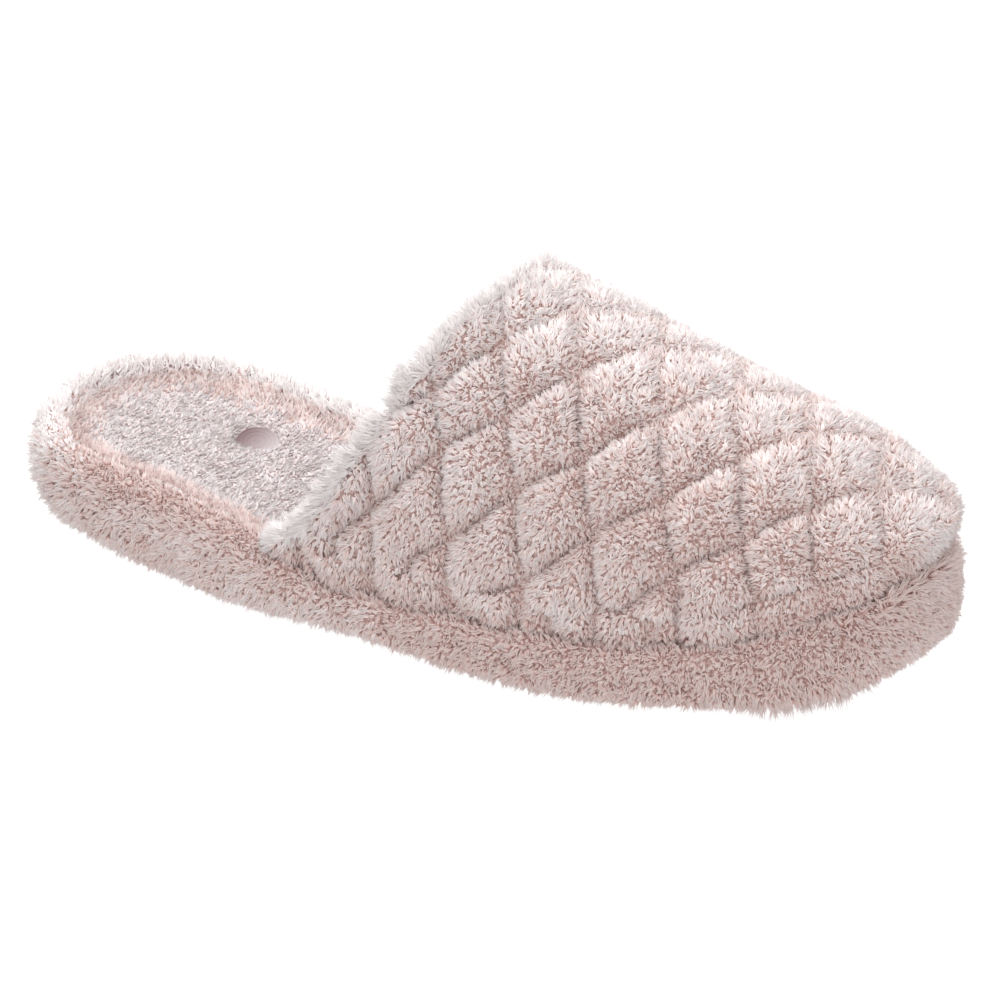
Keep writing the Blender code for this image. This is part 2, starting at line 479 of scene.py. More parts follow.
def add_pile(name, root, stem, length, tone, material, seed, fibres=7, tuft=0.6, clump=0.35, thick=0.31):
    """Plush pile as one mesh: tufts of stout three-sided strands that lean together at their tips.

    root, stem, length and tone hold a row for each tuft: where it stands, which way it points, how
    long it is, and how pale it is from 0 to 1.
    """
    random = np.random.default_rng(seed)
    stem = unit(unit(stem) + random.normal(size=stem.shape) * STEM_SPREAD)
    length = length * random.normal(1, LENGTH_SPREAD, len(length)).clip(0.7, 1.3)
    any_way = np.array([0.31, 0.52, 0.79])
    aside = unit(np.cross(stem, any_way))
    owner = np.repeat(np.arange(len(root)), fibres)
    count = len(owner)
    swing = random.uniform(0, 2 * np.pi, count)
    reach = tuft * np.sqrt(random.random(count))
    offset = aside[owner] * (np.cos(swing) * reach)[:, None]
    offset += np.cross(stem, aside)[owner] * (np.sin(swing) * reach)[:, None]
    base = root[owner] + offset
    height = length[owner] * random.uniform(0.75, 1.12, count)
    stray = random.normal(size=(count, 3)) * STRAY * height[:, None]
    tip = root[owner] + stem[owner] * height[:, None] + offset * (1 - clump) + stray
    axis = unit(tip - base)
    other_way = np.array([0.77, 0.41, 0.48])
    first = unit(np.cross(axis, other_way))
    second = np.cross(axis, first)
    width = thick * random.uniform(0.8, 1.25, count)
    spin = random.uniform(0, 2 * np.pi, count)
    corners = np.empty((count, 4, 3))
    corners[:, 3] = tip
    for k in range(3):
        angle = spin + 2 * np.pi * k / 3
        rim = first * np.cos(angle)[:, None] + second * np.sin(angle)[:, None]
        corners[:, k] = base + rim * width[:, None]
    corners[..., 2] = np.maximum(corners[..., 2], LOWEST)
    shade = np.clip(tone[owner] + random.normal(size=count) * TONE_SPREAD, 0, 1)

    sides = np.array([[0, 1, 3], [1, 2, 3], [2, 0, 3]])
    index = (np.arange(count)[:, None, None] * 4 + sides).ravel()
    mesh = bpy.data.meshes.new(name)
    mesh.vertices.add(count * 4)
    mesh.vertices.foreach_set("co", (corners * MM).ravel())
    mesh.loops.add(len(index))
    mesh.loops.foreach_set("vertex_index", index)
    mesh.polygons.add(count * 3)
    mesh.polygons.foreach_set("loop_start", np.arange(count * 3) * 3)
    mesh.update(calc_edges=True)
    mesh.shade_smooth()
    along = np.tile([0.0, 0.0, 0.0, 1.0], count)
    mesh.attributes.new("along", "FLOAT", "POINT").data.foreach_set("value", along)
    mesh.attributes.new("tone", "FLOAT", "POINT").data.foreach_set("value", np.repeat(shade, 4))
    # The baking map runs up the strand one way and through the tones the other way
    strand = 0.004
    margin = 0.01
    flat = np.stack([
        np.repeat(margin + 0.97 * shade, 9) + strand * np.tile([0, 1, 0.5], count * 3),
        np.tile([margin, margin, 1 - margin], count * 3),
    ], -1)
    mesh.uv_layers.new(name="OFBake").uv.foreach_set("vector", flat.ravel())
    mesh.materials.append(material)
    piece = bpy.data.objects.new(name, mesh)
    bpy.context.scene.collection.objects.link(piece)
    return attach(piece, "root")


def plush(name, dye_and_shade):
    """Pile rose at the root and pale at the tip, the darker root partly painted shade deep in the pile;
    tufts run from dusty to pale.
    """
    material, shader, wire = finish(name, 0.85)
    tone = wire.node("Attribute", {"attribute_name": "tone"}, {}, "Fac")
    along = wire.node("Attribute", {"attribute_name": "along"}, {}, "Fac")
    root = tone.between((*dye_and_shade.dusty_root, 1.0), (*dye_and_shade.pale_root, 1.0))
    tip = tone.between((*dye_and_shade.dusty_tip, 1.0), (*dye_and_shade.pale_tip, 1.0))
    (along ** CLIMB).between(root, tip).feed(shader, "Base Color")
    return material


def backing(name, color, gap_shade):
    """Knitted cloth that the pile is rooted in, with fine loops, and dark flecks that are painted shade of
    strands deep in the pile.
    """
    material, shader, wire = finish(name, 0.95)
    place = wire.node("TexCoord", {}, {}, "Object")
    flecks = wire.node("TexNoise", {}, {"Vector": place, "Scale": 1700.0, "Detail": 1.0})
    loops = wire.node("TexVoronoi", {}, {"Vector": place, "Scale": 1100.0}, "Distance")
    shade = wire.node("Clamp", {}, {0: flecks * 4.5 - 1.75})
    shade.between((*gap_shade, 1.0), (*color, 1.0)).feed(shader, "Base Color")
    bump = {"Height": loops, "Strength": 0.5, "Distance": 0.3 * MM}
    wire.node("Bump", {}, bump).feed(shader, "Normal")
    return material


def add_skin(name, rows, material):
    """A piece lofted from open rows of points, with points that meet welded."""
    bm = bmesh.new()
    loft(bm, rows, ring_closed=False)
    bmesh.ops.remove_doubles(bm, verts=bm.verts, dist=0.01)
    return add_mesh(name, bm, material)


plush_pile = plush("blush_plush", BLUSH)
pressed_pile = plush("pressed_plush", PRESSED)
# The backings are dark enough to pass for shade where they show between tufts: partly painted shade
rose_backing = backing("rose_backing", (0.55, 0.405, 0.38), (0.32, 0.20, 0.18))
pressed_backing = backing("pressed_backing", (0.80, 0.73, 0.73), (0.60, 0.50, 0.495))

insole_edge = STRIP - SEAM_OVERLAP
edge_turns = np.linspace(0, 1, EDGE_POINTS)
edge_insets = np.full(EDGE_POINTS, insole_edge)
outer_ring = inset_outline(edge_turns, edge_insets)
inner_ring = inset_outline(2 - edge_turns, edge_insets)
tread_x = -np.cos(np.linspace(0, np.pi, TREAD_ROWS)) * (LENGTH / 2 - insole_edge)
tread_share = np.linspace(0, 1, TREAD_COLUMNS)
low_y = np.interp(tread_x, outer_ring[:, 0], outer_ring[:, 1])
high_y = np.interp(tread_x, inner_ring[:, 0], inner_ring[:, 1])
tread_y = low_y[:, None] + (high_y - low_y)[:, None] * tread_share
tread_grid = np.stack([np.repeat(tread_x[:, None], TREAD_COLUMNS, 1), tread_y], -1)
spot_share = np.clip(np.linalg.norm(tread_grid - SPOT, axis=-1) / SPOT_RADIUS, 0, 2)
dimple = np.where(spot_share < 1, 1.0, bell(spot_share, 1, SPOT_FADE))
from_side = np.minimum(tread_y - low_y[:, None], high_y[:, None] - tread_y)
from_edge = np.minimum(from_side, (tread_x - tread_x[0])[:, None])
dish = TREAD_DISH * ramp(from_edge, TREAD_DISH_REACH, 0) ** 2
tread_z = follow(HEIGHT, "tread", tread_grid[..., 0]) - TREAD_SINK - SPOT_SINK * dimple + dish
tread_skin = np.concatenate([tread_grid, tread_z[..., None]], -1)
insole = add_skin("insole_pad", tread_skin[::2, ::2], pressed_backing)
thickness = insole.modifiers.new("foam", "SOLIDIFY")
thickness.thickness = TREAD_FOAM * MM
thickness.offset = -1
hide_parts("insole")

# Under the upper the pile is thinned out, and the stitched spot stays clear of it
random = np.random.default_rng(INSOLE_SEED)
spots = scatter(tread_skin, TREAD_SPACING, random)
place = read(tread_skin, spots)
share = np.clip((COVERED_X - place[:, 0]) / COVERED_X, COVERED_SHARE, 1)
chosen = random.random(len(place)) < share
chosen &= np.linalg.norm(place[:, :2] - SPOT, axis=-1) > SPOT_RADIUS * SPOT_OPEN
spots = keep(spots, chosen)
place = read(tread_skin, spots)
pressed = read(dimple, spots)
edge_share = ramp(read(from_edge, spots), EDGE_REACH, 0)
near_edge = edge_share * ramp(place[:, 1], 0, EDGE_NEAR_Y)
combing = COMB_SHARE * ((1 - edge_share) * (1 - 0.7 * pressed))[:, None]
leaning = near_edge[:, None]
lean = (1 - combing) * read(face_normals(tread_skin), spots) + COMB * combing
lean = lean * (1 - EDGE_LEAN_SHARE * leaning) + EDGE_LEAN * leaning
lean += TREAD_SWAY * sway(place, TREAD_SWAY_SIZE, INSOLE_SEED + 10)
streak_place = np.stack([
    STREAK_FINE * (place[:, :2] @ STREAK_ACROSS),
    place[:, :2] @ STREAK_ALONG,
    np.zeros(len(place)),
], -1)
streaks = drift(streak_place, STREAK_SIZE, INSOLE_SEED + 13)
length = TREAD_PILE * (1 - 0.2 * pressed) * (1 + 0.4 * edge_share) * (1 + 0.12 * streaks)
# The pile on the dimple's far wall, and a little in the dimple, is darkened as painted shade; it is also
# darker along the insole's edge, most on the near side
from_spot = (place[:, :2] - SPOT) / SPOT_RADIUS
far_wall_shade = bell(np.linalg.norm(from_spot, axis=-1), SPOT_WALL, SPOT_WALL_WIDTH)
far_wall_shade *= np.clip(from_spot @ SPOT_FAR, 0, 1)
tone = mottled(place, 0.5, 0.16, 14, INSOLE_SEED + 12, 0.18, random)
tone += 0.2 * streaks - 0.2 * pressed - 0.9 * far_wall_shade - 0.7 * near_edge - 0.3 * edge_share
fluffy = random.random(len(place)) < edge_share * EDGE_FLUFF
for name, chosen, material in (
    ("insole_edge_pile", fluffy, plush_pile),
    ("insole_pile", ~fluffy, pressed_pile),
):
    rows = (place[chosen], lean[chosen], length[chosen], tone[chosen])
    insole_pile = add_pile(name, *rows, material, INSOLE_SEED + 1, **TREAD_STRANDS)

# The spot itself is rings of satin stitch, darker on the wall that faces away from the light
spot_turn, spot_out = np.meshgrid(np.linspace(0, 2 * np.pi, 48), np.linspace(1, 0, 10), indexing="ij")
spot_reach = spot_out * (SPOT_RADIUS + SPOT_SKIRT)
spot_x = SPOT[0] + spot_reach * np.cos(spot_turn)
spot_y = SPOT[1] + spot_reach * np.sin(spot_turn)
spot_far = (spot_x - SPOT[0]) * SPOT_FAR[0] + (spot_y - SPOT[1]) * SPOT_FAR[1]
spot_z = follow(HEIGHT, "tread", spot_x) - TREAD_SINK - SPOT_SINK + SPOT_FILL
spot_z += SPOT_TILT * spot_far - SPOT_DISH * (1 - spot_out**2)
spot_material, spot_shader, spot_wire = finish("satin_stitch", 0.5)
spot_place = spot_wire.node("TexCoord", {}, {}, "Object")
spot_middle = (SPOT[0] * MM, SPOT[1] * MM, follow(HEIGHT, "tread", SPOT[0]) * MM)
from_middle = {0: spot_place, 1: spot_middle}
spot_radius = spot_wire.node("VectorMath", {"operation": "DISTANCE"}, from_middle, "Value")
ring_turns = spot_radius * (2 * np.pi / (RING_STEP * MM))
threads = 0.5 + 0.5 * spot_wire.node("Math", {"operation": "SINE"}, {0: ring_turns})
across_spot = {0: spot_place, 1: (SPOT_DARK[0] / MM, SPOT_DARK[1] / MM, 0.0)}
wall = spot_wire.node("VectorMath", {"operation": "DOT_PRODUCT"}, across_spot, "Value")
wall = (wall - float(SPOT @ SPOT_DARK)) * (0.5 / SPOT_RADIUS) + 0.5
thread = threads.between(THREAD_LOW, THREAD_HIGH)
wall.between(thread, THREAD_SHADE).feed(spot_shader, "Base Color")
thread_bump = {"Height": threads, "Strength": 0.3, "Distance": 0.2 * MM}
spot_wire.node("Bump", {}, thread_bump).feed(spot_shader, "Normal")
spot_piece = add_skin("insole_spot", np.stack([spot_x, spot_y, spot_z], -1), spot_material)

# Side strips
# Two strips of deep plush round the edge of the platform, one round the heel and one round the toe,
# sewn to each other at the waist and rolled over the insole's edge to make a soft rim.
STRIP_ROUND = 6.0
STRIP_POWER = 2.8
STRIP_LIFT = 0.8
STRIP_FALL = 5.5
STRIP_TURN = 0.8
STRIP_DENSITY = 260
STRIP_COLUMNS = 49
STRIP_SINK = 1.6
STRIP_SINK_INNER = 0.15
STRIP_LOWEST = 0.6
STRIP_SPACING = 0.95
STRIP_SWAY = 0.22
STRIP_SWAY_SIZE = 8.0
PILE = 2.15
SIDE_SEAM_X = 1.0
SIDE_SEAM_WIDTH = 2.4
CORNER_X = -38.5
# A paler copy of the plush with pale roots, for the rims and the collar fringe: painted light on these lit
# tops
LIT_RIM_COLOURS = Dye((0.82, 0.735, 0.725), (0.87, 0.80, 0.79), (0.85, 0.80, 0.795), (0.89, 0.845, 0.84))

# How far the backing is drawn in under the pile, and let out at the far rim
HEEL_TUCK = 2.0
HEEL_TUCK_OUTER = 3.6
SEAM_TUCK = 1.4
BALL_TUCK = 2.2
FAR_RIM_PUFF = 0.8

# Where each effect goes from none to full: along the foot in x, across it in y, and round the strip
HEEL_CORNER_X = (-86, -102)
HEEL_CORNER_WRAP = (0.4, 0)
FAR_RIM_X = (-48, -68)
FAR_SIDE_Y = (0, 12)
OUTER_Y = (8, -2)
BALL_X = 80
BALL_REACH = (26, 6)
WAIST_X = 34
WAIST_REACH = (33.8, 7.8)
LOW_WRAP = (0.3, 0)
SEAM_WRAP = (0.25, 0.45)
SEAM_DIP_WRAP = (0.2, 0.4)
RIM_WRAP = 0.72
RIM_WIDTH = 0.2
BARE_WRAP = 0.95
OPEN_RIM_X = (CORNER_X + 16, CORNER_X)
SHOULDER_X = (-122, -98)
SHOULDER_Y = (0, -18)
HANG_WRAP = 0.22
HANG_REACH = (0.28, 0)
UPRIGHT_WRAP = (0.3, 0.65)
UNDER_BALL_WRAP = (0.25, 0)
TOE_HANG_X = (97, 102)
TOE_HANG_END_X = (128, 118)
TOE_HANG_WRAP = (0.35, 0)
HEEL_END_X = (-98, -110)
HEEL_END_Y = (-6, -16)
TOE_END_X = (114, 124)
INNER_WRAP = (0.55, 0.7)
FAR_TOP_WRAP = (0.45, 0.55)
UPRIGHT = np.array([0.0, 0.0, 0.6])
SHOULDER_LEAN = np.array([0.2, -0.7, 0.36])

lit_rim_plush = plush("lit_rim_plush", LIT_RIM_COLOURS)


def turn_at(x):
    """Turn on the outer side at a given x."""
    return float(np.arccos(-2 * x / LENGTH) / np.pi)


def strip_face(turn, wrap):
    """Outer face of a side strip: wrap 0 underneath, round the side to the rim, and 1 down at the insole."""
    angle = ramp(wrap, 0, STRIP_TURN) * np.pi - np.pi / 2
    inward = ramp(wrap, STRIP_TURN, 1) * np.pi / 2
    swing = np.sign(np.sin(angle)) * np.abs(np.sin(angle)) ** (2 / STRIP_POWER)
    x = outline(turn)[..., 0]
    low = follow(HEIGHT, "under", x) + STRIP_LIFT
    high = follow(HEIGHT, "rim", x)
    inset = STRIP_ROUND * (1 - np.abs(np.cos(angle)) ** (2 / STRIP_POWER))
    inset = inset + (STRIP - STRIP_ROUND) * np.sin(inward)
    z = (low + high + (high - low) * swing) / 2 - STRIP_FALL * (1 - np.cos(inward))
    return np.concatenate([inset_outline(turn, inset), z[..., None]], -1)


def strip_skin(turn, wrap):
    """Backing of a strip under its pile, and the way the pile stands on it."""
    face = strip_face(turn, wrap)
    normal = face_normals(face)
    x = face[..., 0]
    y = face[..., 1]
    heel_corner = ramp(x, *HEEL_CORNER_X) * ramp(wrap, *HEEL_CORNER_WRAP)
    side_seam = bell(x, SIDE_SEAM_X, SIDE_SEAM_WIDTH) * ramp(wrap, *SEAM_WRAP)
    ball = ramp(np.abs(x - BALL_X), *BALL_REACH) * ramp(wrap, *LOW_WRAP)
    far_rim = bell(wrap, RIM_WRAP, RIM_WIDTH) * ramp(x, *FAR_RIM_X) * ramp(y, *FAR_SIDE_Y)
    depth = STRIP_SINK * (1 - (1 - STRIP_SINK_INNER) * ramp(wrap, STRIP_TURN, 1))
    depth += (HEEL_TUCK + HEEL_TUCK_OUTER * ramp(y, *OUTER_Y)) * heel_corner
    depth += SEAM_TUCK * side_seam + BALL_TUCK * ball - FAR_RIM_PUFF * far_rim
    skin = face - normal * depth[..., None]
    skin[..., 2] = np.maximum(skin[..., 2], STRIP_LOWEST)
    return skin, normal


def add_strip(node, start, end, droop, pale, seed):
    """A strip's backing and its pile, from one turn to another."""
    along = np.linspace(start, end, int((end - start) * STRIP_DENSITY))
    turn, wrap = np.meshgrid(along, np.linspace(0, 1, STRIP_COLUMNS), indexing="ij")
    skin, normal = strip_skin(turn, wrap)
    backs = skin[::2, ::4]
    inner_turn = turn[::2, :1]
    inner_plan = inset_outline(inner_turn, np.full(inner_turn.shape, STRIP))
    inner = np.concatenate([inner_plan, backs[:, :1, 2:]], -1)
    bm = bmesh.new()
    made = loft(bm, np.concatenate([inner, backs], 1), ring_closed=True)
    bm.faces.new(made[0])
    bm.faces.new(made[-1])
    bmesh.ops.recalc_face_normals(bm, faces=bm.faces)
    strip = add_mesh(node.replace("wrap", "strip"), bm, rose_backing)
    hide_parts(node)

    random = np.random.default_rng(seed)
    spots = scatter(skin, STRIP_SPACING, random)
    bare = (read(wrap, spots) > BARE_WRAP) & (read(skin, spots)[:, 0] > CORNER_X - 2)
    spots = keep(spots, ~bare)
    wrapped = read(wrap, spots)
    place = read(skin, spots)
    x = place[:, 0]
    y = place[:, 1]
    open_rim = ramp(x, *OPEN_RIM_X)
    far_side = ramp(y, *FAR_SIDE_Y)
    rim = bell(wrapped, RIM_WRAP, RIM_WIDTH) * open_rim
    shoulder = rim * ramp(y, *SHOULDER_Y) * ramp(x, *SHOULDER_X)
    seam_dip = bell(x, SIDE_SEAM_X, SIDE_SEAM_WIDTH) * ramp(wrapped, *SEAM_DIP_WRAP)
    toe_hang = ramp(x, *TOE_HANG_X) * ramp(x, *TOE_HANG_END_X) * ramp(wrapped, *TOE_HANG_WRAP)

    # Low pile hangs, the open rim's stands up, and the near shoulder's is stroked outwards
    stem = read(normal, spots)
    stem[:, 2] -= droop * ramp(np.abs(wrapped - HANG_WRAP), *HANG_REACH)
    upright = (ramp(wrapped, *UPRIGHT_WRAP) * open_rim - shoulder).clip(0, 1)[:, None]
    stem = stem * (1 - 0.5 * upright) + UPRIGHT * upright
    stem = stem * (1 - 0.8 * shoulder[:, None]) + SHOULDER_LEAN * shoulder[:, None]
    stem += STRIP_SWAY * sway(place, STRIP_SWAY_SIZE, seed)
    stem[:, 2] -= 0.6 * toe_hang

    # Long at the waist, under the toe and round both ends, short where the foot rests and at seams
    under_ball = ramp(np.abs(x - BALL_X), *BALL_REACH) * ramp(wrapped, *UNDER_BALL_WRAP)
    waist = ramp(np.abs(x - WAIST_X), *WAIST_REACH) * ramp(wrapped, *LOW_WRAP)
    heel_tuft = 0.7 * bell(wrapped, 0.4, 0.13) - 0.55 * rim * ramp(y, *HEEL_END_Y)
    toe_tuft = 0.9 * bell(wrapped, 0.66, 0.1) - 0.2 * ramp(wrapped, 0.5, 0.3)
    length = PILE * (1 + 0.3 * (rim - shoulder) - 0.15 * shoulder)
    length *= 1 + 0.1 * drift(place, 6, seed + 4)
    length *= 1 - 0.6 * under_ball + 0.45 * waist
    length *= 0.55 + 0.45 * np.clip(wrapped / 0.2 + toe_hang, 0, 1) + toe_hang
    length *= 1 + heel_tuft * ramp(x, *HEEL_END_X)
    length *= 1 + toe_tuft * ramp(x, *TOE_END_X)
    length *= 1 - 0.35 * seam_dip

    # Pale on the open rim, more so on the far side, as painted light on its lit top; dusty on the near
    # shoulder;
    # painted shade in the seams, under the upper's edge and down the strip's inner side
    tone = mottled(place, pale, 0.16, 12, seed + 5, 0.2, random)
    tone += 0.45 * (rim - shoulder) + 0.25 * rim * far_side - 0.6 * shoulder - 0.6 * seam_dip
    tone -= 0.5 * ramp(wrapped, *INNER_WRAP) * (1 - open_rim)
    far_top = far_side * open_rim * ramp(wrapped, *FAR_TOP_WRAP)
    # Rim tufts take the paler lit copy of the plush, as painted light
    on_rim = random.random(len(place)) < 1.3 * (rim - shoulder) + 0.7 * far_top
    for suffix, chosen, material in (("_pile", ~on_rim, plush_pile), ("_rim_pile", on_rim, lit_rim_plush)):
        if chosen.any():
            rows = (place[chosen], stem[chosen], length[chosen], tone[chosen])
            pile = add_pile(strip.name + suffix, *rows, material, seed + 6)


seam = turn_at(SIDE_SEAM_X)
toe_seam = turn_at(SIDE_SEAM_X + GAP)
add_strip("heel_wrap", -seam, seam, droop=0.55, pale=0.34, seed=40)
# The toe strip's darker mean tone is partly painted shade on the low strip round the toe
add_strip("toe_wrap", toe_seam, 2 - toe_seam, droop=0.15, pale=-0.11, seed=60)

# Upper
# A padded plush vamp over the toes and instep, quilted in diamonds through its lining and sewn to the
# side strips. Its collar is turned over, so the pile runs on round the edge.
PEAK_X = 12.0
FAN_X = 85.0
ARCH_POWER = 2.28
COLLAR_POWER = 0.8
NOSE_X = 84.0
NOSE_POWER = 2.4
BULGE_RISE = 8.0
BULGE_SHARE = 0.11
TUCK = 2.0
SKIRT = 0.9
SKIRT_DROP = 6.0
SKIRT_INSET = 3.0
COLLAR_BACK = 0.012
UPPER_ROWS = 361
UPPER_COLUMNS = 113
TUCK_COLUMNS = 12
SECTIONS = 180
SECTION_POINTS = 90
LAST_SECTION = 178.999
LAST_POINT = 88.999
UPPER_SINK = 1.4
UPPER_SPACING = 0.98
UPPER_SWAY = 0.22
UPPER_SWAY_SIZE = 9.0

# The pads' relief, which is fainter over the top and near the seam
CREASE_SINK = 3.7
PUFF = 1.6
PAD_EDGE = 6.5
PAD_POWER = 3
DOME = 2.2
DOME_EDGE = 10.0
DOME_POWER = 2
DOME_LEVEL = 0.8
FAINT = 0.06
FAINT_DOWN = 28.0
FAINT_INNER = 36.0
SEAM_EASE = 0.6
CROWN_LIFT = 0.8
CROWN_DOWN = 12.0
CROWN_WIDTH = 22.0
CROWN_END_X = 118.0
CROWN_RUN = 15.0
CROWN_DIP = -0.8

# The lining, which is turned up into the fold at the collar, and the pile's zones in millimetres
LINING_DEPTH = 7.6
LINING_TURN = 4.4
LINING_CLEAR = 1.0
LINING_FINE = 12
CLOTH = 0.5
COLLAR_FOLD = 5.0
COLLAR_SHAG = 20.0
COLLAR_LIGHT_REACH = 40.0
PAINTED_LIGHT_Z = (38, 52)
LOW_PAD = (40, 65)
PAD_DROOP = 0.18
LOW_PAD_DROOP = 0.4
SEAM_SHADE_RISE = (-0.5, -1)

# Quilting: two families of stitched lines, by the x at which each crosses the top line. From there a
# line's x runs on by these amounts with the distance down.
FORWARD_LINES = (-57.4, -35.4, -13.4, 8.7, 30.8, 53.9, 75.6, 95.5, 114.9)
BACKWARD_LINES = (10.3, 32.3, 50.4, 72.5, 94.4, 116.7, 136.4, 158.4, 180.4)
Line = namedtuple("Line", "down forward backward")
QUILT = (
    Line(0, 0, 0),
    Line(16, 10.7, -7.4),
    Line(40, 21.7, -19.7),
    Line(55, 28.5, -33.9),
    Line(73, 31.8, -47.2),
    Line(90, 33, -64),
)


def upper_height(x, y, side):
    """Height of the upper's outer face over a plan point, from its widest line upwards."""
    base = follow(HEIGHT, "rim", x) + BULGE_RISE
    out = np.abs(y - follow(PLAN, "middle", x)) / np.maximum(half_width(x, side), 1e-6)
    nose = rounded((x - NOSE_X) / (LENGTH / 2 - NOSE_X), NOSE_POWER)
    return base + (follow(HEIGHT, "crown", x) - base) * nose * rounded(out, ARCH_POWER)


def upper_face(turn, rise):
    """Outer face of the upper: rise -1 at the seam, 0 at its widest line and 1 at the top line.

    Below -1 it is the seam allowance, which goes down inside the side strip.
    """
    foot = outline(turn)
    side = side_of(turn)
    angle = np.clip(rise, 0, 1) * np.pi / 2
    spread = np.abs(np.cos(angle)) ** (2 / ARCH_POWER)
    # Ribs lean like the collar's edge, less and less towards the toe, and fan out over the toe itself
    top_x = PEAK_X + (foot[..., 0] - CORNER_X) * (FAN_X - PEAK_X) / (FAN_X - CORNER_X)
    share = BULGE_SHARE + (1 - BULGE_SHARE) * np.sin(angle) ** (2 / ARCH_POWER)
    lean_x = foot[..., 0] + (top_x - foot[..., 0]) * share**COLLAR_POWER
    lean_y = follow(PLAN, "middle", lean_x) + side * half_width(lean_x, side) * spread
    middle = follow(PLAN, "middle", np.array(FAN_X))
    fan = foot[..., 0] >= FAN_X
    x = np.where(fan, FAN_X + (foot[..., 0] - FAN_X) * spread, lean_x)
    y = np.where(fan, middle + (foot[..., 1] - middle) * spread, lean_y)
    face = np.stack([x, y, upper_height(x, y, side)], -1)
    seam_z = follow(HEIGHT, "rim", foot[..., 0]) + GAP
    tucked = np.clip(-rise, 0, 1)[..., None]
    below = np.clip(-rise - 1, 0, 1)
    seam_point = np.concatenate([
        inset_outline(turn, TUCK + SKIRT_INSET * below),
        (seam_z - SKIRT_DROP * below)[..., None],
    ], -1)
    return face * (1 - tucked) + seam_point * tucked


def distance_down(points, rise, side):
    """Distance from the top line down to each point, round the section across the foot there."""
    section_x = np.linspace(CORNER_X - 2, LENGTH / 2 - 0.5, SECTIONS)
    angle = np.linspace(np.pi / 2, 0, SECTION_POINTS)
    spread = np.abs(np.cos(angle)) ** (2 / ARCH_POWER)
    down = np.empty(points.shape[:-1])
    for hand in (-1.0, 1.0):
        x, out = np.meshgrid(section_x, spread, indexing="ij")
        y = follow(PLAN, "middle", x) + hand * half_width(x, hand) * out
        section = np.stack([y, upper_height(x, y, hand)], -1)
        step = np.linalg.norm(np.diff(section, axis=1), axis=-1)
        run = np.concatenate([np.zeros((SECTIONS, 1)), np.cumsum(step, axis=1)], 1)
        mine = side == hand
        px = points[..., 0][mine]
        py = points[..., 1][mine]
        out_share = np.abs(py - follow(PLAN, "middle", px)) / np.maximum(half_width(px, hand), 1e-6)
        turned = np.arccos(np.clip(out_share, 0, 1) ** (ARCH_POWER / 2))
        row = (px - section_x[0]) / (section_x[1] - section_x[0])
        column = (np.pi / 2 - turned) / (np.pi / 2) * (SECTION_POINTS - 1)
        down[mine] = read(run, (row.clip(0, LAST_SECTION), column.clip(0, LAST_POINT)))
    return down + np.clip(-rise, 0, 1) * BULGE_RISE


def to_line(x, down, side, tops, near, far):
    """Distance square to the nearest line of one quilting family."""
    steps = [line.down for line in QUILT]
    near_run = [getattr(line, near) for line in QUILT]
    far_run = [getattr(line, far) for line in QUILT]

    def run_at(distance):
        return np.where(side < 0, np.interp(distance, steps, near_run), np.interp(distance, steps, far_run))

    step = 2.0
    slope = (run_at(down + step) - run_at(down - step)) / (2 * step)
    apart = np.abs((x - run_at(down))[..., None] - np.array(tops)).min(-1)
    return apart / np.sqrt(1 + slope**2)


def pillow(distance, edge, power):
    """Rise of a pad from 0 on a stitched line to 1 inside it."""
    return 1 - (1 - np.clip(distance / edge, 0, 1)) ** power


corner = turn_at(CORNER_X) + COLLAR_BACK
rise_steps = np.concatenate([
    np.linspace(-1 - SKIRT, 0, TUCK_COLUMNS, endpoint=False),
    np.linspace(0, 1, UPPER_COLUMNS - TUCK_COLUMNS),
])
turn, rise = np.meshgrid(np.linspace(corner, 2 - corner, UPPER_ROWS), rise_steps, indexing="ij")
side = side_of(turn)
face = upper_face(turn, rise)
normal = face_normals(face)
normal[:, -1] = normal[:, -2]
down = distance_down(face, rise, side)
to_forward = to_line(face[..., 0], down, side, FORWARD_LINES, "forward", "backward")
to_backward = to_line(face[..., 0], down, side, BACKWARD_LINES, "backward", "forward")
pad = pillow(to_forward, PAD_EDGE, PAD_POWER) * pillow(to_backward, PAD_EDGE, PAD_POWER)
dome = pillow(to_forward, DOME_EDGE, DOME_POWER) * pillow(to_backward, DOME_EDGE, DOME_POWER)
below_top = ramp(np.where(side < 0, down, down - FAINT_INNER), 0, FAINT_DOWN)
to_seam = np.clip(-rise, 0, 1)
relief = (FAINT + (1 - FAINT) * below_top) * (1 - SEAM_EASE * to_seam)
crease = relief * (CREASE_SINK * (1 - pad) + DOME * (DOME_LEVEL - dome))
crown = CROWN_LIFT * bell(down * side, CROWN_DOWN, CROWN_WIDTH)
crown *= np.clip((CROWN_END_X - face[..., 0]) / CROWN_RUN, CROWN_DIP, 1)
skin_depth = UPPER_SINK + crease - crown
skin = face - normal * skin_depth[..., None]
puffed = face_normals(face + normal * (PUFF * pad + DOME * dome)[..., None])
puffed[:, -1] = puffed[:, -2]

